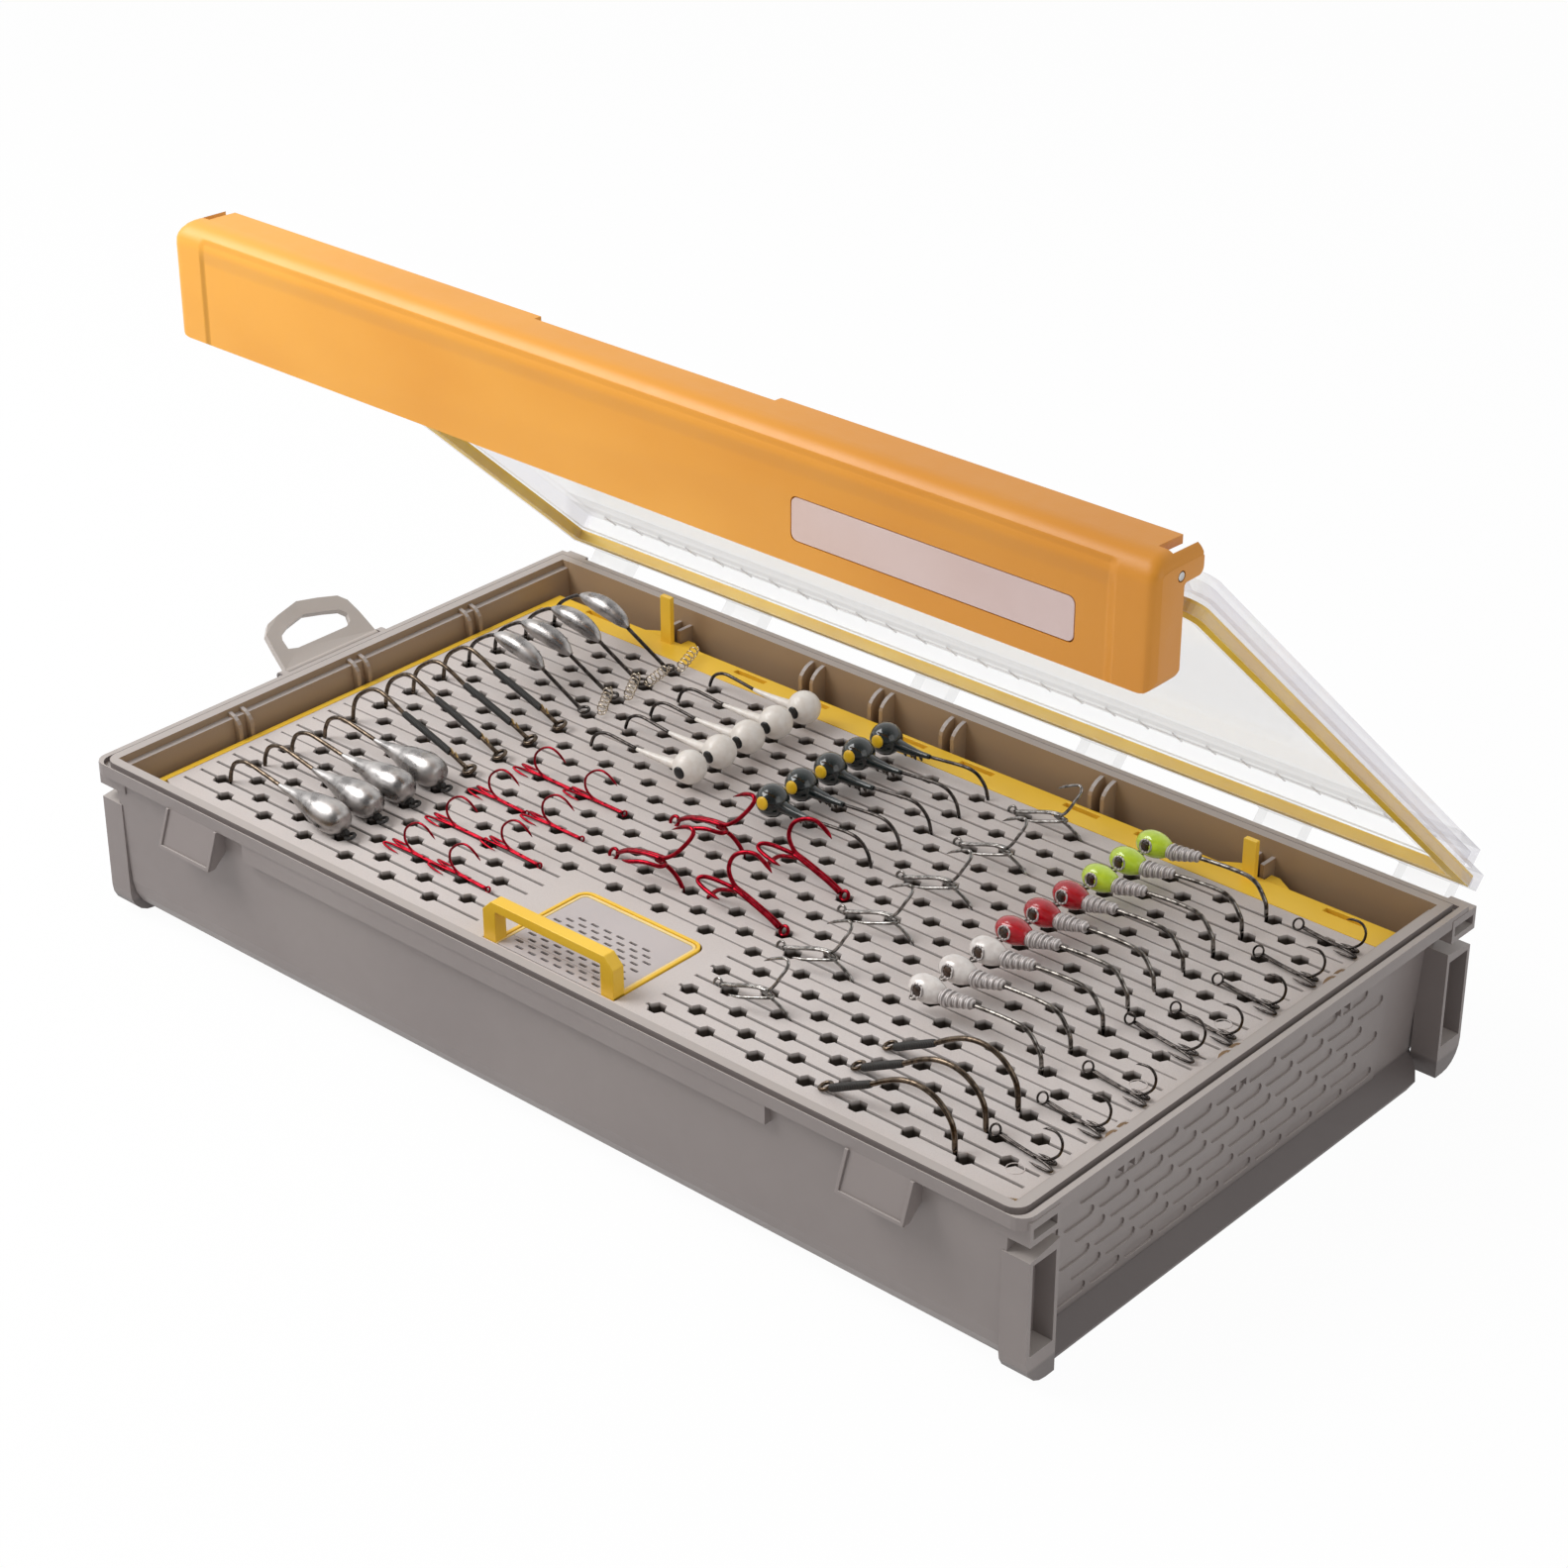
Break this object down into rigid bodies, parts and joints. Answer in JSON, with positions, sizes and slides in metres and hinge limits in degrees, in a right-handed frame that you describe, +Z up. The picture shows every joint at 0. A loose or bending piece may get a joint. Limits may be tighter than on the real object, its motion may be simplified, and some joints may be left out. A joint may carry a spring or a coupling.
{
  "type": "tackle utility box",
  "caption": "Flat tackle box with a clear hinged lid, full-width latch, slitted hook mat on a lift-out tray and a folding hang tab.",
  "frame": {"origin": "on the floor under the middle of the box's inner plan", "axes": "+X along the box towards the end without the hang tab, +Y towards the hinge, +Z up"},
  "size_m": [0.3835, 0.2263, 0.216],
  "materials": {
    "grey_plastic": "satin moulded",
    "clear_plastic": "polished clear",
    "yellow_rubber": "soft satin",
    "orange_plastic": "satin moulded",
    "frosted_plastic": "frosted",
    "yellow_plastic": "satin moulded",
    "grey_rubber": "matte",
    "white_paper": "matte",
    "steel": "bright",
    "black_steel": "black nickel",
    "red_steel": "red anodised",
    "bronze_steel": "bronze",
    "lead": "cast lead",
    "white_paint": "painted",
    "black_paint": "painted",
    "red_paint": "painted",
    "chartreuse_paint": "painted"
  },
  "bodies": {
    "base": {"box_base": "grey_plastic", "hang_tab_pin": "steel"},
    "hinge_pin": {"hinge_pin": "steel"},
    "lid": {"lid": "clear_plastic", "lid_gasket": "yellow_rubber"},
    "latch_pins": {"latch_pin_left": "steel", "latch_pin_right": "steel"},
    "latch": {"latch": "orange_plastic", "label_window": "frosted_plastic"},
    "tray": {"tray": "yellow_plastic", "hook_mat": "grey_rubber", "module_frame": "yellow_plastic", "desiccant_pack": "white_paper", "swimbait_hook_1": "black_steel", "swimbait_hook_2": "black_steel", "swimbait_hook_3": "black_steel", "swimbait_hook_4": "black_steel", "worm_hook_1": "black_steel", "worm_hook_2": "black_steel", "worm_hook_3": "black_steel", "worm_hook_4": "black_steel", "teardrop_jig_1": "lead", "teardrop_jig_2": "lead", "teardrop_jig_3": "lead", "teardrop_jig_4": "lead", "white_ball_jig_1": "white_paint", "white_ball_jig_2": "white_paint", "white_ball_jig_3": "white_paint", "white_ball_jig_4": "white_paint", "white_ball_jig_5": "white_paint", "black_ball_jig_1": "black_paint", "black_ball_jig_2": "black_paint", "black_ball_jig_3": "black_paint", "black_ball_jig_4": "black_paint", "black_ball_jig_5": "black_paint", "white_collar_jig_1": "white_paint", "white_collar_jig_2": "white_paint", "white_collar_jig_3": "white_paint", "red_collar_jig_1": "red_paint", "red_collar_jig_2": "red_paint", "red_collar_jig_3": "red_paint", "chartreuse_collar_jig_1": "chartreuse_paint", "chartreuse_collar_jig_2": "chartreuse_paint", "chartreuse_collar_jig_3": "chartreuse_paint", "wide_gap_hook_1": "bronze_steel", "wide_gap_hook_2": "bronze_steel", "wide_gap_hook_3": "bronze_steel", "chrome_treble_1": "steel", "chrome_treble_2": "steel", "chrome_treble_3": "steel", "chrome_treble_4": "steel", "chrome_treble_5": "steel", "chrome_treble_6": "steel", "red_treble_1": "red_steel", "red_treble_2": "red_steel", "red_treble_3": "red_steel", "red_treble_4": "red_steel"},
    "module_cover": {"module_cover": "grey_plastic"},
    "hang_tab": {"hang_tab": "grey_plastic"}
  },
  "joints": [
    {"name": "hinge_pin_turn", "type": "hinge", "parent": "base", "child": "hinge_pin", "pos_m": [0, 0.1064, 0.0488], "axis": [-1, 0, 0], "range_deg": [-43.56, 0]},
    {"name": "lid_hinge", "type": "hinge", "parent": "hinge_pin", "child": "lid", "pos_m": [0, 0.1064, 0.0488], "axis": [-1, 0, 0], "range_deg": [0, 61]},
    {"name": "latch_pin_turn", "type": "hinge", "parent": "lid", "child": "latch_pins", "pos_m": [0, -0.04583, 0.20957], "axis": [-1, 0, 0], "range_deg": [0, 43.56]},
    {"name": "latch_swing", "type": "hinge", "parent": "latch_pins", "child": "latch", "pos_m": [0, -0.04583, 0.20957], "axis": [-1, 0, 0], "range_deg": [0, 95]},
    {"name": "tray_tilt", "type": "hinge", "parent": "base", "child": "tray", "pos_m": [0, 0.09325, 0.0554], "axis": [-1, 0, 0], "range_deg": [0, 22]},
    {"name": "module_cover_lift", "type": "slide", "parent": "tray", "child": "module_cover", "axis": [0, 0, 1], "range_m": [0, 0.012]},
    {"name": "hang_tab_fold", "type": "hinge", "parent": "base", "child": "hang_tab", "pos_m": [-0.1834, -0.0018, 0.053], "axis": [0, 1, 0], "range_deg": [-125, 50]}
  ],
  "couplings": [
    {"joint": "latch_pin_turn", "follows": "hinge_pin_turn", "ratio": -1}
  ]
}
